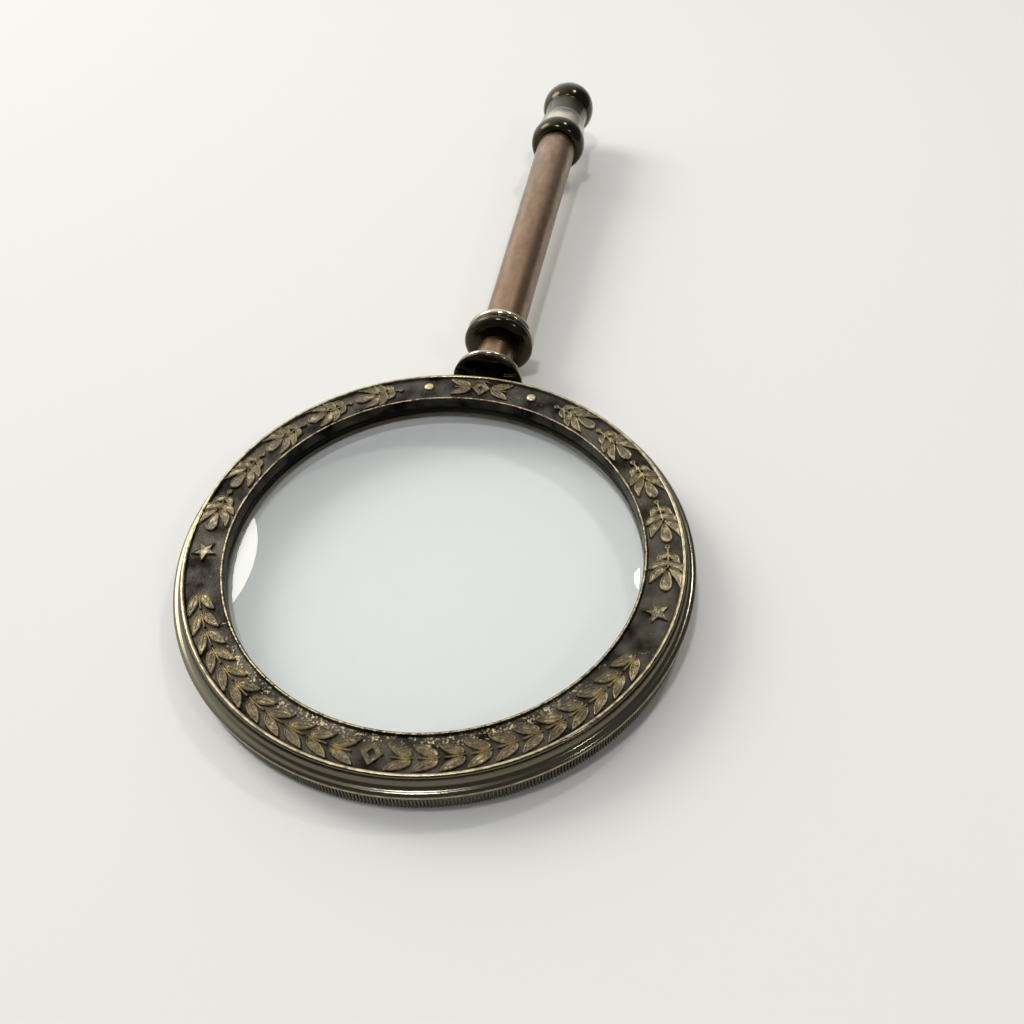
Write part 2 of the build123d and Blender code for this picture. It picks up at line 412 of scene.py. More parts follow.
# %% Sizes of the rim
APERTURE_R = 42.5
FACE_R = 51.0
LIP_R = 53.2
REED_R = 52.8
REED_ROOT_R = 52.5
THREAD_R = 46.05
LENS_R = 45.0
SEAT = 1.9
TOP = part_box("rim")[1].z / MM
BOTTOM = -TOP
FIELD = TOP - 0.6          # the decorated field, below the crests of the beads
BEAD_FOOT = TOP - 0.45
LIP_HEIGHT = 0.75
LIP_START = (LIP_R - 0.9, 1.5)
print("the rim is", round(TOP - BOTTOM, 2), "mm thick")

# %% Outline of the rim
INNER_BEAD = (APERTURE_R, APERTURE_R + 0.35, APERTURE_R + 0.7)
OUTER_BEAD = (FACE_R - 1.0, FACE_R - 0.5, FACE_R)
FIELD_STEPS = 14
GROOVE = 0.15              # width of the slope from a bead down to the field
field_start = INNER_BEAD[2] + GROOVE
field_end = OUTER_BEAD[0] - GROOVE
field = [(field_start + (field_end - field_start) * i / FIELD_STEPS, FIELD) for i in range(FIELD_STEPS + 1)]

rim_outline = [(APERTURE_R, SEAT), (APERTURE_R, BEAD_FOOT)]
rim_outline += bead((INNER_BEAD[0], BEAD_FOOT), (INNER_BEAD[1], TOP), (INNER_BEAD[2], BEAD_FOOT), "along")
rim_outline += field
rim_outline += [(OUTER_BEAD[0], BEAD_FOOT)]
rim_outline += bead((OUTER_BEAD[0], BEAD_FOOT), (OUTER_BEAD[1], TOP), (OUTER_BEAD[2], BEAD_FOOT), "along", 8)
rim_outline += quarter((FACE_R, BEAD_FOOT), LIP_START, "along", 12)
rim_outline += bead(LIP_START, (LIP_R, LIP_HEIGHT), (REED_ROOT_R, -0.1), "across", 8)
rim_outline += [(REED_ROOT_R, -0.2), (REED_ROOT_R, BOTTOM + 0.35), (REED_ROOT_R - 0.12, BOTTOM + 0.1)]
rim_outline += [(REED_ROOT_R - 0.35, BOTTOM), (THREAD_R + 0.4, BOTTOM), (THREAD_R, BOTTOM + 0.4)]
rim_outline += [(THREAD_R, -SEAT), (LENS_R + 0.1, -SEAT), (LENS_R + 0.1, SEAT)]
print("outline of the rim:", len(rim_outline), "points")


# %% Where the rim is rubbed and where it is cast
WEAR_WIDTH = 0.5     # how far wear spreads from the lip and from the lower edge


def rim_rubbed(radius, height):
    """Wear on the crests of the beads, on the lip, and on the lower edge of the rim."""
    on_beads = 0.7 * min(1.0, (height - TOP + 0.1) / 0.1) if radius < FACE_R + 0.3 else 0.0
    on_lip = 0.95 - math.hypot(radius - LIP_R, height - LIP_HEIGHT) / WEAR_WIDTH
    on_foot = 0.75 - math.hypot(radius - REED_ROOT_R, height - BOTTOM) / WEAR_WIDTH
    return max(0.0, min(1.0, max(on_beads, on_lip, on_foot)))


def rim_cast(radius, height):
    """Inside the outer bead, the upper half of the rim keeps its cast skin. The rest was machined."""
    return 1.0 if radius < OUTER_BEAD[0] + 0.1 and height > 0 else 0.0


RIM_STEPS = 720
rim = turned("rim_casting", rim_outline, "lens", RIM_STEPS, {"rubbed": rim_rubbed, "cast": rim_cast})
print("turned in", RIM_STEPS, "steps:", len(rim.data.vertices), "points")

# %% The casting's unevenness
WANDER = 0.05        # how far the cast face strays, in millimetres
GRAINY_R = 46.1      # opposite the handle, the sand skin shows from the inner bead to here
GRAINY_WEAR = 0.3
rub = rim.data.attributes["rubbed"]
for i, vertex in enumerate(rim.data.vertices):
    if vertex.co.z < (FIELD - 0.05) * MM:
        continue
    reach = math.hypot(vertex.co.x, vertex.co.y) / MM
    if INNER_BEAD[2] < reach < GRAINY_R:
        opposite = min(1.0, max(0.0, -vertex.co.y / (reach * MM) - 0.45) / 0.3)
        grainy = GRAINY_WEAR * opposite * min(1.0, GRAINY_R - reach)
        rub.data[i].value = max(rub.data[i].value, grainy)
    broad = noise.noise(vertex.co / (2.2 * MM))
    fine = noise.noise(vertex.co / (0.7 * MM))
    on_bead = (vertex.co.z / MM - FIELD) / (TOP - FIELD)
    vertex.co.z -= WANDER * (0.6 + 0.5 * broad + 0.5 * fine * on_bead) * MM
finished(rim, CAST_BRASS, "lens_and_rim", "antiqued_brass_cast", "rim")

# %% [markdown]
# ## The boss
#
# The handle screws into a short boss on the rim's edge. It belongs to the same casting.

# %% The boss of the rim
ROD_HOLE_R = 2.55
boss_r = 4.2
boss_end = 53.6
boss_root = 49.0
boss = turned("rim_boss", [
    (ROD_HOLE_R, boss_root), (boss_r, boss_root), (boss_r, boss_end - 0.2), (boss_r - 0.2, boss_end),
    (ROD_HOLE_R, boss_end)], "handle", 96)
finished(boss, CAST_BRASS, "lens_and_rim", "antiqued_brass_cast")

# %% [markdown]
# ## Copies round the ring
#
# The reeding and the ornament repeat round the rim. They are drawn flat, as if the rim were cut and laid
# out straight: x runs along the ring, clockwise from the handle, y points outwards and z stands up. A
# Geometry Nodes tree sets the copies in a row, bends the row into a ring, and for ornament first sweeps an
# oval section along the drawn strokes. One function builds both trees, and the tree for strokes has two more
# inputs, their width and their height.

# %% A straight row of copies
def row_of_copies(tree, given, motif, side, turn):
    """Copies in a straight row along x, towards the given side and turned about z."""
    spacing = {}
    for label in ("First", "Step"):
        arc = add(tree, "ShaderNodeMath", {0: given[label], 1: given["Ring radius"]}, operation="MULTIPLY")
        signed = add(tree, "ShaderNodeMath", {0: arc.outputs[0], 1: side}, operation="MULTIPLY")
        spacing[label] = add(tree, "ShaderNodeCombineXYZ", {"X": signed.outputs[0]}).outputs["Vector"]
    line = add(tree, "GeometryNodeMeshLine", {
        "Count": given["Count"], "Start Location": spacing["First"], "Offset": spacing["Step"]})
    copies = add(tree, "GeometryNodeInstanceOnPoints", {
        "Points": line.outputs["Mesh"], "Instance": motif, "Rotation": (0.0, 0.0, turn)})
    return copies.outputs["Instances"]


# %% Where a point of the row goes on the ring
def bent_position(tree, given):
    """Positions on the ring: x becomes an angle from the handle, and y a distance from the lens's axis."""
    here = add(tree, "ShaderNodeSeparateXYZ", {0: add(tree, "GeometryNodeInputPosition").outputs[0]})
    angle = add(tree, "ShaderNodeMath", {0: here.outputs["X"], 1: given["Ring radius"]}, operation="DIVIDE")
    reach = add(tree, "ShaderNodeMath", {0: here.outputs["Y"], 1: given["Ring radius"]}, operation="ADD")
    sine = add(tree, "ShaderNodeMath", {0: angle.outputs[0]}, operation="SINE")
    cosine = add(tree, "ShaderNodeMath", {0: angle.outputs[0]}, operation="COSINE")
    x = add(tree, "ShaderNodeMath", {0: reach.outputs[0], 1: sine.outputs[0]}, operation="MULTIPLY")
    y = add(tree, "ShaderNodeMath", {0: reach.outputs[0], 1: cosine.outputs[0]}, operation="MULTIPLY")
    z = add(tree, "ShaderNodeMath", {0: here.outputs["Z"], 1: given["Floor"]}, operation="ADD")
    bent = add(tree, "ShaderNodeCombineXYZ", {"X": x.outputs[0], "Y": y.outputs[0], "Z": z.outputs[0]})
    return bent.outputs["Vector"]


# %% A body for drawn strokes
PAD_RISE = 0.6       # how high a pad stands, as a share of its stroke's height
PAD_RUBBED = 0.38    # a pad lies lower than its stroke, so less of it is worn
PAD_CAST = 0.35      # and it is smoother than the field


def swept_strokes(tree, given, motif):
    """Sweep an oval along the strokes and fill the closed ones, with the marks rubbed and cast."""
    upright = add(tree, "GeometryNodeSetCurveNormal", {"Curve": motif}).outputs["Curve"]
    circle = add(tree, "GeometryNodeCurvePrimitiveCircle", {"Resolution": 8, "Radius": 1.0})
    half = add(tree, "ShaderNodeMath", {0: given["Stroke width"], 1: 0.5}, operation="MULTIPLY")
    size = add(tree, "ShaderNodeCombineXYZ", {"X": half.outputs[0], "Y": given["Stroke height"], "Z": 1.0})
    section = add(tree, "GeometryNodeTransform", {
        "Geometry": circle.outputs["Curve"], "Scale": size.outputs["Vector"]})
    ridge = add(tree, "GeometryNodeCurveToMesh", {
        "Curve": upright, "Profile Curve": section.outputs["Geometry"], "Fill Caps": True})
    here = add(tree, "ShaderNodeSeparateXYZ", {0: add(tree, "GeometryNodeInputPosition").outputs[0]})
    height = add(tree, "ShaderNodeMath", {0: here.outputs["Z"], 1: given["Stroke height"]},
                 operation="DIVIDE")
    # A closed stroke is filled with a low pad, a shell with a lid, sides and a floor.
    closed = add(tree, "GeometryNodeSeparateGeometry", {
        "Geometry": upright, "Selection": add(tree, "GeometryNodeInputSplineCyclic").outputs[0]},
        domain="CURVE")
    sheet = add(tree, "GeometryNodeFillCurve", {"Curve": closed.outputs["Selection"]})
    rise = add(tree, "ShaderNodeMath", {0: given["Stroke height"], 1: PAD_RISE}, operation="MULTIPLY")
    lift = add(tree, "ShaderNodeCombineXYZ", {"Z": rise.outputs[0]})
    lid = add(tree, "GeometryNodeExtrudeMesh", {
        "Mesh": sheet.outputs["Mesh"], "Offset": lift.outputs["Vector"], "Individual": False}, mode="FACES")
    floor = add(tree, "GeometryNodeFlipFaces", {"Mesh": sheet.outputs["Mesh"]})
    shell = add(tree, "GeometryNodeJoinGeometry", {"Geometry": [floor.outputs["Mesh"], lid.outputs["Mesh"]]})
    pad = add(tree, "GeometryNodeMergeByDistance", {
        "Geometry": shell.outputs["Geometry"], "Distance": 0.001 * MM})
    marked = []
    for mesh, rubbed, cast in ((pad.outputs["Geometry"], PAD_RUBBED, PAD_CAST),
                               (ridge.outputs["Mesh"], height.outputs[0], 1.0)):
        for label, value in (("rubbed", rubbed), ("cast", cast)):
            mesh = add(tree, "GeometryNodeStoreNamedAttribute", {
                "Geometry": mesh, "Name": label, "Value": value},
                data_type="FLOAT", domain="POINT").outputs["Geometry"]
        marked.append(mesh)
    return add(tree, "GeometryNodeJoinGeometry", {"Geometry": marked}).outputs["Geometry"]


# %% The whole tree, once for strokes and once for solid copies
def ring_tree(name, swept):
    """Geometry Nodes tree with named inputs. swept: the motif is drawn strokes, not a solid."""
    tree = bpy.data.node_groups.new(name, "GeometryNodeTree")
    tree.interface.new_socket("Geometry", in_out="OUTPUT", socket_type="NodeSocketGeometry")
    sockets = {"Motif": "Object", "Material": "Material", "Ring radius": "Float", "Floor": "Float",
               "First": "Float", "Step": "Float", "Count": "Int", "Both sides": "Bool"}
    if swept:
        sockets.update({"Stroke width": "Float", "Stroke height": "Float"})
    for label, kind in sockets.items():
        tree.interface.new_socket(label, in_out="INPUT", socket_type="NodeSocket" + kind)
    given = add(tree, "NodeGroupInput").outputs
    motif = add(tree, "GeometryNodeObjectInfo", {"Object": given["Motif"]}).outputs["Geometry"]
    if swept:
        motif = swept_strokes(tree, given, motif)
    # A row on each side of the handle: the second runs the other way, with its copies turned round.
    first_row = row_of_copies(tree, given, motif, side=1.0, turn=0.0)
    other_row = row_of_copies(tree, given, motif, side=-1.0, turn=math.pi)
    second = add(tree, "GeometryNodeSwitch", {"Switch": given["Both sides"], "True": other_row},
                 input_type="GEOMETRY")
    both = add(tree, "GeometryNodeJoinGeometry", {"Geometry": [second.outputs["Output"], first_row]})
    solid = add(tree, "GeometryNodeRealizeInstances", {"Geometry": both.outputs["Geometry"]})
    ring = add(tree, "GeometryNodeSetPosition", {
        "Geometry": solid.outputs["Geometry"], "Position": bent_position(tree, given)})
    done = add(tree, "GeometryNodeSetMaterial", {
        "Geometry": ring.outputs["Geometry"], "Material": given["Material"]})
    add(tree, "NodeGroupOutput", {"Geometry": done.outputs["Geometry"]})
    return tree


RAISED_STROKES = ring_tree("raised_strokes_on_ring", True)
SOLID_COPIES = ring_tree("solid_copies_on_ring", False)
print("trees:", RAISED_STROKES.name, SOLID_COPIES.name)


# %% Run a tree and keep the result as a plain mesh
def grown(name, tree, **values):
    """The tree's result with these inputs, written with _ for a space, as a plain mesh object."""
    host = bpy.data.objects.new(name + "_host", bpy.data.meshes.new(name + "_host"))
    bpy.context.scene.collection.objects.link(host)
    modifier = host.modifiers.new("ring", "NODES")
    modifier.node_group = tree
    for item in tree.interface.items_tree:
        wanted = item.name.replace(" ", "_")
        if item.in_out == "INPUT" and wanted in values:
            modifier[item.identifier] = values[wanted]
    graph = bpy.context.evaluated_depsgraph_get()
    mesh = bpy.data.meshes.new_from_object(host.evaluated_get(graph), depsgraph=graph)
    mesh.name = name
    piece = bpy.data.objects.new(name, mesh)
    bpy.context.scene.collection.objects.link(piece)
    bpy.data.objects.remove(host)
    bpy.data.objects.remove(values["Motif"])
    return piece


# %% [markdown]
# ## The reeding
#
# The band under the lip is milled with about 500 fine upright ribs, 0.65 mm apart, for the fingers to hold
# while the retaining ring is turned. One rib is a half-round bar with rounded ends, made of few faces
# because there are so many.

# %% One rib and its copies
REED_PITCH = 0.65
reed_count = round(2 * math.pi * REED_R / REED_PITCH)
REED_ENDS = (-0.25, BOTTOM + 0.3)
CREST_WEAR = 0.42


def rib_motif():
    """One upright rib in flat coordinates, standing out along y."""
    shape = bmesh.new()
    mark = shape.verts.layers.float.new("rubbed")
    half = REED_PITCH * 0.42
    depth = REED_R - REED_ROOT_R
    side = (half * 0.6, depth * 0.75)
    section = [(-half, -0.1), (-side[0], side[1]), (0, depth), side, (half, -0.1)]
    top, bottom = REED_ENDS
    levels = ((top, 0.2), (top - 0.25, 1.0), (bottom + 0.25, 1.0), (bottom, 0.2))
    rows = [[shape.verts.new((x * MM, (y * share if y > 0 else y) * MM, level * MM)) for x, y in section]
            for level, share in levels]
    for a, b in zip(rows, rows[1:]):
        for i in range(len(section)):
            j = (i + 1) % len(section)
            shape.faces.new((a[i], a[j], b[j], b[i]))
    shape.faces.new(rows[0])
    shape.faces.new(rows[-1])
    bmesh.ops.recalc_face_normals(shape, faces=shape.faces)
    for row in rows:
        row[2][mark] = CREST_WEAR
    mesh = bpy.data.meshes.new("rib")
    shape.to_mesh(mesh)
    shape.free()
    return bpy.data.objects.new("rib", mesh)


reeding = grown("rim_reeding", SOLID_COPIES, Motif=rib_motif(), Material=CAST_BRASS,
                Ring_radius=REED_ROOT_R * MM, Floor=0.0, First=0.0, Step=2 * math.pi / reed_count,
                Count=reed_count, Both_sides=False)
finished(reeding, CAST_BRASS, "lens_and_rim", "antiqued_brass_cast")
print("ribs:", reed_count)

# %% [markdown]
# ## The ornament
#
# The face carries raised ornament, cast with the rim: five palmettes and a star on each side of the handle,
# a round stud between them and the handle, and laurel leaves that run from a lozenge opposite the handle up
# both sides. A smaller pair of them flanks a lozenge at the handle. All of it is drawn as strokes. A leaf or
# a petal is a smooth closed stroke through a few points, and a star is ten points worked out round a circle.
# Open strokes thin out at their ends, as a cutter lifts, and closed ones hold a low pad, as cast leaves do.

# %% Draw strokes flat
THIN_END = 0.45      # weight of an open stroke's ends


def drawn(name, strokes):
    """A curve object of strokes in mm: each (points, closed, smooth, weight)."""
    curve = bpy.data.curves.new(name, "CURVE")
    curve.dimensions = "3D"
    curve.resolution_u = 4
    for points, closed, smooth, weight in strokes:
        spline = curve.splines.new("NURBS" if smooth else "POLY")
        spline.points.add(len(points) - 1)
        for i, (x, y) in enumerate(points):
            spline.points[i].co = (x * MM, y * MM, 0, 1)
            at_end = not closed and i in (0, len(points) - 1)
            spline.points[i].radius = weight * (THIN_END if at_end else 1.0)
        spline.use_cyclic_u = closed
        if smooth:
            spline.use_endpoint_u = not closed
            spline.order_u = 3
    return bpy.data.objects.new(name, curve)


# %% The palmette
def palmette():
    """A palmette that opens away from the handle, along +x: bud, stem, petal, and three leaves a side."""
    strokes = [
        ([(-6.0, 0.0), (-5.4, 0.55), (-4.8, 0.0), (-5.4, -0.55)], True, True, 1.0),
        ([(-5.0, 0.0), (-3.0, 0.0), (-0.2, 0.0)], False, True, 1.3),
        ([(0.3, 0.0), (2.2, 0.8), (4.2, 1.15), (5.3, 0.55), (5.3, -0.55), (4.2, -1.15), (2.2, -0.8)],
         True, True, 1.0),
    ]
    leaves = [
        [(-3.9, 0.2), (-3.8, 1.3), (-3.2, 2.0), (-1.7, 2.2), (-1.7, 2.2), (-2.4, 1.2), (-3.0, 0.2)],
        [(-2.0, 0.2), (-1.9, 1.7), (-1.1, 3.1), (0.6, 3.6), (0.6, 3.6), (-0.2, 2.2), (-0.8, 0.3)],
        [(-0.4, 0.3), (0.1, 1.9), (1.5, 3.2), (4.1, 3.1), (4.1, 3.1), (2.4, 2.0), (0.8, 0.6)],
    ]
    for side in (1, -1):
        for leaf in leaves:
            strokes.append(([(x, side * y) for x, y in leaf], True, True, 1.0))
    return drawn("palmette", strokes)


# %% The star, the laurel leaves and the lozenge
def star(outer=2.55, inner=1.05, first_tip=math.radians(211)):
    """An outlined star of five points."""
    points = []
    for i in range(10):
        reach = inner if i % 2 else outer
        turn = first_tip + math.pi * i / 5
        points.append((reach * math.cos(turn), reach * math.sin(turn)))
    return drawn("star", [(points, True, False, 1.0)])


def laurel():
    """A pair of laurel leaves on a stretch of stem, pointing along +x."""
    strokes = [([(-2.0, 0.0), (0.0, 0.0), (1.9, 0.0)], False, True, 0.9)]
    for side in (1, -1):
        leaf = [(-1.9, 0.35), (-1.2, 1.5), (0.6, 2.2), (2.7, 2.45), (2.7, 2.45), (1.8, 1.2), (0.2, 0.4)]
        vein = [(-1.0, 0.75), (0.3, 1.3), (1.5, 1.8)]
        strokes.append(([(x, side * y) for x, y in leaf], True, True, 1.0))
        strokes.append(([(x, side * y) for x, y in vein], False, True, 0.8))
    return drawn("laurel", strokes)


def lozenge():
    """Two lozenges, one in the other."""
    strokes = [([(reach, 0), (0, reach * 1.15), (-reach, 0), (0, -reach * 1.15)], True, False, 1.0)
               for reach in (2.0, 0.9)]
    return drawn("lozenge", strokes)


print("four motifs:", ", ".join(motif.__name__ for motif in (palmette, star, laurel, lozenge)))


# %% Set the strokes on the face
STROKE = {"Stroke_width": 0.46 * MM, "Stroke_height": 0.5 * MM}
ORNAMENT_R = 46.95
SUNK = 0.03          # how far the strokes reach down into the field
ornaments = [        # name, motif, ring radius in mm, first copy and step in degrees, copies, on both sides
    ("rim_palmettes", palmette(), 47.2, 29.7, 14.8, 5, True),
    ("rim_stars", star(), ORNAMENT_R, 102.0, 0.0, 1, True),
    ("rim_laurel", laurel(), 47.3, 117.5, 5.6, 11, True),
    ("rim_laurel_at_handle", laurel(), ORNAMENT_R, 5.2, 0.0, 1, True),
    ("rim_lozenges", lozenge(), ORNAMENT_R, 0.0, 180.0, 2, False),
]
for name, motif, radius, first, step, count, both in ornaments:
    relief = grown(name, RAISED_STROKES, Motif=motif, Material=CAST_BRASS, Ring_radius=radius * MM,
                   Floor=(FIELD - SUNK) * MM, First=math.radians(first), Step=math.radians(step),
                   Count=count, Both_sides=both, **STROKE)
    finished(relief, CAST_BRASS, "lens_and_rim", "antiqued_brass_cast")

# %% The two studs
STUD_R = 1.2
stud_outline = [(0.0, -0.2), (STUD_R, -0.2), (STUD_R, 0.05)]
stud_outline += quarter((STUD_R, 0.05), (0.0, 0.5), "along", 5)
stud_marks = {"rubbed": lambda radius, height: 0.35 + height, "cast": lambda radius, height: 0.0}
stud = turned("stud", stud_outline, "lens", 20, stud_marks)
studs = grown("rim_studs", SOLID_COPIES, Motif=stud, Material=CAST_BRASS, Ring_radius=47.3 * MM,
              Floor=FIELD * MM, First=math.radians(15.0), Step=0.0, Count=1, Both_sides=True)
finished(studs, CAST_BRASS, "lens_and_rim", "antiqued_brass_cast")

# %% [markdown]
# ## The lens
#
# Both faces are parts of large spheres, 370 mm in radius, so the glass is 8 mm thick in the middle and
# 2.5 mm at the edge. The edge is ground, with a small bevel that keeps it from chipping.

# %% The lens
LENS_EDGE = 1.25
LENS_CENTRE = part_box("lens")[1].z / MM
lens_sag = LENS_CENTRE - LENS_EDGE
lens_curve_r = (LENS_R**2 + lens_sag**2) / (2 * lens_sag)
LENS_BEVEL = 0.25
LENS_RINGS = 28


def lens_height(radius):
    return LENS_CENTRE - lens_curve_r + math.sqrt(lens_curve_r**2 - radius**2)


polished_r = LENS_R - LENS_BEVEL
face_radii = [polished_r * i / LENS_RINGS for i in range(LENS_RINGS + 1)]
face_points = [(radius, lens_height(radius)) for radius in face_radii]
lens_outline = [(r, -h) for r, h in face_points]
lens_outline += [(LENS_R, -LENS_EDGE + LENS_BEVEL), (LENS_R, LENS_EDGE - LENS_BEVEL)]
lens_outline += face_points[::-1]
lens = turned("lens_glass", lens_outline, "lens", 256)
finished(lens, GLASS, "lens_and_rim", "lens_glass", "lens")
print("radius of the glass faces:", round(lens_curve_r), "mm")

# %% [markdown]
# ## The handle
#
# Five turned pieces in a row on a steel rod. Each collar is domed towards the rim and ends in fine beads on
# its other side. The sizes along the handle come from the frame's boxes, and the outlines add the rounding.

# %% Collars
HANDLE_STEPS = 176
SPIGOT_R = 4.0
DOME_SHARE = 0.7     # a collar is widest this far along its dome


def collar_outline(start, end, near_r, dome_r, far_r, beads, spigot=None):
    """Dome, groove and beads of a collar. beads: (length, radius) each. spigot: a height it reaches to."""
    dome_end = end - sum(length for length, radius in beads)
    dome_top = start + DOME_SHARE * (dome_end - start)
    outline = [(ROD_HOLE_R, start), (near_r, start)]
    outline += quarter((near_r, start), (dome_r, dome_top), "across", 20)
    outline += quarter((dome_r, dome_top), (far_r, dome_end), "along", 10)
    here = dome_end
    for length, radius in beads:
        outline += bead((far_r, here), (radius, here + length / 2), (far_r, here + length), "across", 8)
        here += length
    if spigot:
        outline += [(SPIGOT_R, end), (SPIGOT_R, spigot - 0.2), (SPIGOT_R - 0.2, spigot), (ROD_HOLE_R, spigot)]
    else:
        outline.append((ROD_HOLE_R, end))
    return outline


def ends_of(node):
    """Where a node starts and ends along the handle, in mm."""
    low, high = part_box(node)
    return low.y / MM, high.y / MM


lower_start, lower_end = ends_of("lower_collar")
neck_start, neck_end = ends_of("neck")
grip_start, grip_end = ends_of("grip")
spigot_end = ends_of("upper_collar")[1]
end_collar_end = ends_of("end_collar")[1]
print("grip from", round(grip_start, 1), "to", round(grip_end, 1), "mm")


# %% Lower and upper collar
def bead_wear_and_painted_highlight(bead_start):
    """Pale colour on the beads of a collar that lie past bead_start: partly wear, partly a painted highlight.
    """
    return lambda radius, height: 0.65 + 0.8 * (radius - 8.2) if height > bead_start and radius > 7.0 else 0.0


LOWER_BEADS = ((0.5, 8.25), (1.4, 8.3))      # length and radius of each bead
UPPER_BEADS = ((0.8, 8.4), (1.9, 8.6))
lower_outline = collar_outline(lower_start, lower_end, near_r=7.6, dome_r=8.5, far_r=7.8, beads=LOWER_BEADS)
lower = turned("lower_collar_turned", lower_outline, "handle", HANDLE_STEPS,
               {"rubbed": bead_wear_and_painted_highlight(lower_end - LOWER_BEADS[-1][0])})
finished(lower, DARK_BRASS, "handle", "polished_dark_brass", "lower_collar")
upper_outline = collar_outline(neck_end, grip_start, near_r=5.0, dome_r=8.7, far_r=7.85, beads=UPPER_BEADS,
                               spigot=spigot_end)
upper = turned("upper_collar_turned", upper_outline, "handle", HANDLE_STEPS,
               {"rubbed": bead_wear_and_painted_highlight(grip_start - UPPER_BEADS[-1][0])})
finished(upper, DARK_BRASS, "handle", "polished_dark_brass", "upper_collar")

# %% End collar, with its recess for the spring washer
RECESS_R = 4.45
END_NEAR_R = 6.4
END_DOME_R = 8.45
recess_start = end_collar_end - 1.25
spigot_start = ends_of("end_collar")[0]
end_outline = [(ROD_HOLE_R, spigot_start), (SPIGOT_R - 0.2, spigot_start), (SPIGOT_R, spigot_start + 0.2)]
end_outline += [(SPIGOT_R, grip_end), (END_NEAR_R, grip_end)]
dome_top = grip_end + DOME_SHARE * (end_collar_end - grip_end)
end_outline += quarter((END_NEAR_R, grip_end), (END_DOME_R, dome_top), "across", 20)
end_outline += quarter((END_DOME_R, dome_top), (8.2, end_collar_end), "along", 6)
end_outline += [(RECESS_R, end_collar_end), (RECESS_R, recess_start), (ROD_HOLE_R, recess_start)]
end_collar = turned("end_collar_turned", end_outline, "handle", HANDLE_STEPS)
finished(end_collar, DARK_BRASS, "handle", "polished_dark_brass", "end_collar")

# %% Neck and grip
NECK_R = 4.55
GRIP_BORE_R = 4.05
GRIP_NEAR_R = 5.25
GRIP_FAR_R = 6.0
BREAK = 0.15       # the sharp edge that a file takes off a tube's end
neck = turned("neck_tube", [
    (ROD_HOLE_R, neck_start), (NECK_R - BREAK, neck_start), (NECK_R, neck_start + BREAK),
    (NECK_R, neck_end - BREAK), (NECK_R - BREAK, neck_end), (ROD_HOLE_R, neck_end)], "handle", 128)
finished(neck, BRONZE, "handle", "satin_antique_bronze", "neck")
GRIP_RINGS = 24
grip_side = [(GRIP_NEAR_R + (GRIP_FAR_R - GRIP_NEAR_R) * i / GRIP_RINGS,
              grip_start + BREAK + (grip_end - grip_start - 2 * BREAK) * i / GRIP_RINGS)
             for i in range(GRIP_RINGS + 1)]
grip = turned("grip_tube", [
    (GRIP_BORE_R, grip_start), (GRIP_NEAR_R - BREAK, grip_start), *grip_side,
    (GRIP_FAR_R - BREAK, grip_end), (GRIP_BORE_R, grip_end)], "handle", 160)
finished(grip, BRONZE, "handle", "satin_antique_bronze", "grip")

# %% [markdown]
# ## The ball
#
# The handle ends in a ball on a flared foot. It is bored for the rod, and unscrews to take the handle apart.

# %% Ball finial
foot, tip = ends_of("ball_finial")
BALL_R = 8.3
ball_centre = tip - BALL_R
waist_r = 6.5
throat_r = 7.1
waist = foot + 10.4
throat = ball_centre - math.sqrt(BALL_R**2 - throat_r**2)
foot_r = 7.6
bore_end = foot + 13.0
ball_outline = [(ROD_HOLE_R, foot), (foot_r - BREAK, foot), (foot_r, foot + BREAK)]
ball_outline += quarter((foot_r, foot + BREAK), (waist_r, waist), "along", 16)
ball_outline += quarter((waist_r, waist), (throat_r, throat), "along", 10)
BALL_RINGS = 32
first_turn = math.atan2(throat - ball_centre, throat_r)
for i in range(1, BALL_RINGS):
    turn = first_turn + (math.pi / 2 - first_turn) * i / BALL_RINGS
    ball_outline.append((BALL_R * math.cos(turn), ball_centre + BALL_R * math.sin(turn)))
ball_outline += [(0.0, tip), (0.0, bore_end), (ROD_HOLE_R, bore_end)]


def foot_wear_and_painted_reflection(radius, height):
    """The flared foot is pale, palest near its base: partly rubbed by the fingers that turn it, partly a
    painted reflection of the bright room.
    """
    return min(1.0, max(0.0, 1.3 - (height - foot) / 8.0)) if radius > ROD_HOLE_R else 0.0


ball = turned("ball_turned", ball_outline, "handle", HANDLE_STEPS, {"rubbed": foot_wear_and_painted_reflection})
finished(ball, DARK_BRASS, "finial", "polished_dark_brass", "ball_finial")

# %% [markdown]
# ## Pieces that keep their CAD shape
#
# The packing rings, the retaining ring, the rod and the washer are right as they are, and take a finish.

# %% Finishes on the CAD pieces
kept = {"front_packing_ring": CARD, "rear_packing_ring": CARD, "retaining_ring": TURNED_BRASS,
        "tie_rod": STEEL, "spring_washer": STEEL}
for node, material in kept.items():
    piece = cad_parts[node]
    piece.data.materials.clear()
    piece.data.materials.append(material)
print("finished:", ", ".join(kept))

# %% [markdown]
# ## Table, light and camera
#
# The glass lies on a pale table, on the near edge of its rim and on the lower collar, so the table is
# tilted about 2 degrees in this frame. A window wall and a softbox behind on the left give most of the light
# and throw the shadows to the right. Three small round lamps put spots of light on the polished metal.

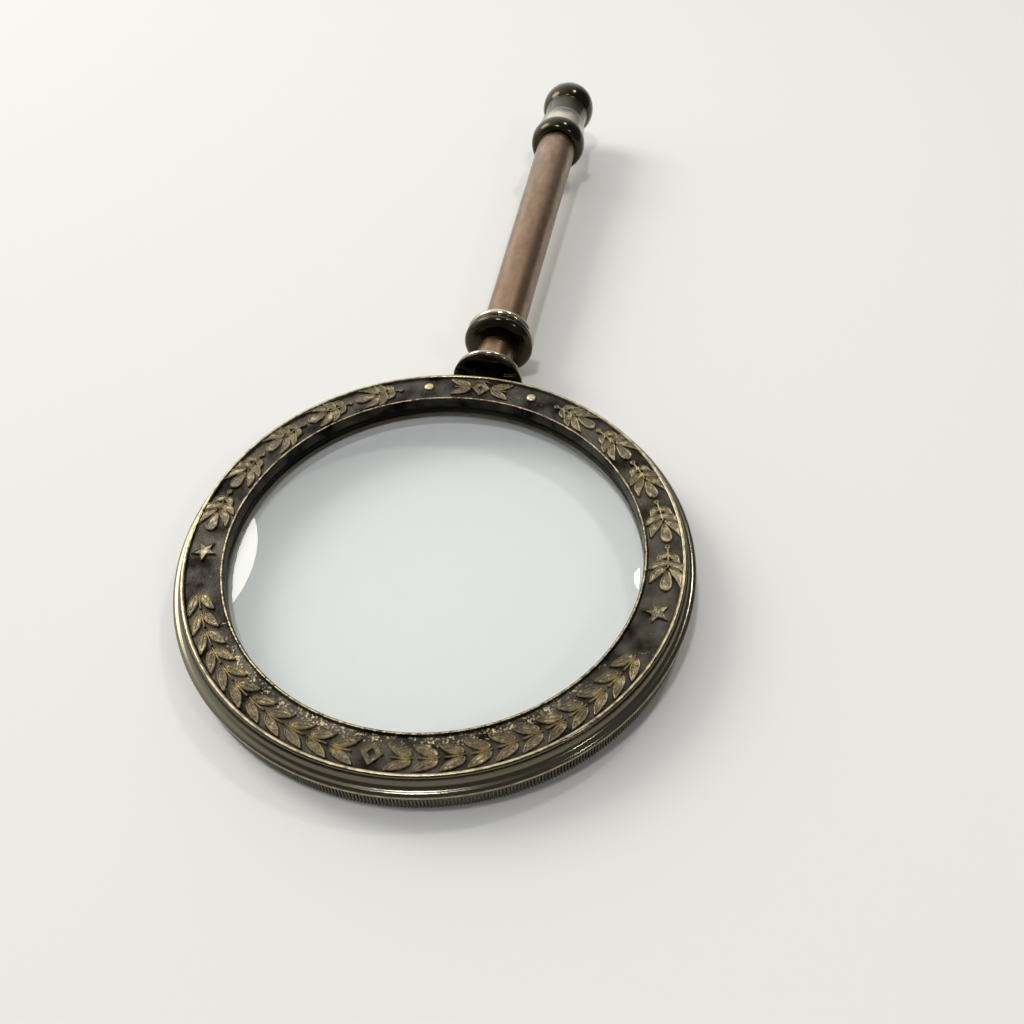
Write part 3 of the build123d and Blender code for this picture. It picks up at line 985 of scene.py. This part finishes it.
# %% The table
rear_edge_r = REED_R - 0.4
collar_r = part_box("lower_collar")[1].z / MM
collar_y = lower_start + 0.5
slope = (collar_r - TOP) / (rear_edge_r + collar_y)
TABLE_HALF = 4.0
table_mesh = bpy.data.meshes.new("table")
corners = [(x * TABLE_HALF, y * TABLE_HALF, BOTTOM * MM - slope * (y * TABLE_HALF + rear_edge_r * MM))
           for x, y in ((-1, -1), (1, -1), (1, 1), (-1, 1))]
table_mesh.from_pydata(corners, [], [(0, 1, 2, 3)])
table = bpy.data.objects.new("table", table_mesh)
bpy.context.scene.collection.objects.link(table)
paper, paper_tree, paper_output = new_material("matt_white_paper")
paper_shader = add(paper_tree, "ShaderNodeBsdfPrincipled", {
    "Base Color": linear("#D6D5D2"), "Roughness": 0.95})
paper_tree.links.new(paper_shader.outputs["BSDF"], paper_output.inputs["Surface"])
table_mesh.materials.append(paper)
print("the table slopes", round(math.degrees(math.atan(slope)), 2), "degrees")


# %% The lamps
MIDDLE = Vector((0.0, 0.05, 0.0))     # between the lens and the grip, where every lamp points


def round_lamp(name, place, width, power, colour):
    light = bpy.data.lights.new(name, "AREA")
    light.shape = "DISK"
    light.size = width
    light.energy = power
    light.color = linear(colour)[:3]
    lamp = bpy.data.objects.new(name, light)
    lamp.location = place
    lamp.rotation_euler = (MIDDLE - Vector(place)).to_track_quat("-Z", "Y").to_euler()
    bpy.context.scene.collection.objects.link(lamp)
    print(name, width, "m wide,", power, "W")


round_lamp("left_softbox", (-0.95, 0.55, 0.75), 0.6, 9.0, "#FFFAF2")
round_lamp("overhead_lamp", (-0.1, -0.08, 0.88), 0.1, 2.0, "#FFFFFF")
round_lamp("lamp_over_ball", (0.26, 0.6, 0.78), 0.08, 1.6, "#FFFBF0")
round_lamp("lamp_at_right", (0.55, -0.25, 0.6), 0.07, 0.5, "#FFFFFF")

# %% The room: a pale window wall behind on the left, dim walls elsewhere
WINDOW = (-0.75, 0.65, 0.1)           # the way to the window wall
world = bpy.data.worlds.new("window_room")
world.use_nodes = True
room = world.node_tree
direction = add(room, "ShaderNodeTexCoord").outputs["Generated"]
facing = add(room, "ShaderNodeVectorMath", {0: direction, 1: WINDOW}, operation="DOT_PRODUCT")
brightness = add(room, "ShaderNodeMapRange", {
    "Value": facing.outputs["Value"], "From Min": 0.1, "From Max": 0.8, "To Min": 0.2, "To Max": 1.6},
    interpolation_type="SMOOTHSTEP")
background = room.nodes["Background"]
background.inputs["Color"].default_value = linear("#F7F8F9")
room.links.new(brightness.outputs["Result"], background.inputs["Strength"])
bpy.context.scene.world = world
bpy.context.scene.view_settings.view_transform = "Standard"
print("lit by", world.name)

# %% The camera: a wide lens held near the rim, looking over it along the handle
CAMERA_PLACE = (0.0403, -0.1138, 0.1532)
camera_data = bpy.data.cameras.new("camera")
camera_data.lens = 32.97
camera_data.sensor_width = 36.0
camera_data.clip_start = 0.01
camera = bpy.data.objects.new("camera", camera_data)
round_handle = Matrix.Rotation(math.radians(11.9), 4, "Z")
look_down = Matrix.Rotation(math.radians(40.41), 4, "X")
roll = Matrix.Rotation(math.radians(-1.998), 4, "Z")
camera.matrix_world = Matrix.Translation(CAMERA_PLACE) @ round_handle @ look_down @ roll
bpy.context.scene.collection.objects.link(camera)
bpy.context.scene.camera = camera
print("camera at", CAMERA_PLACE)
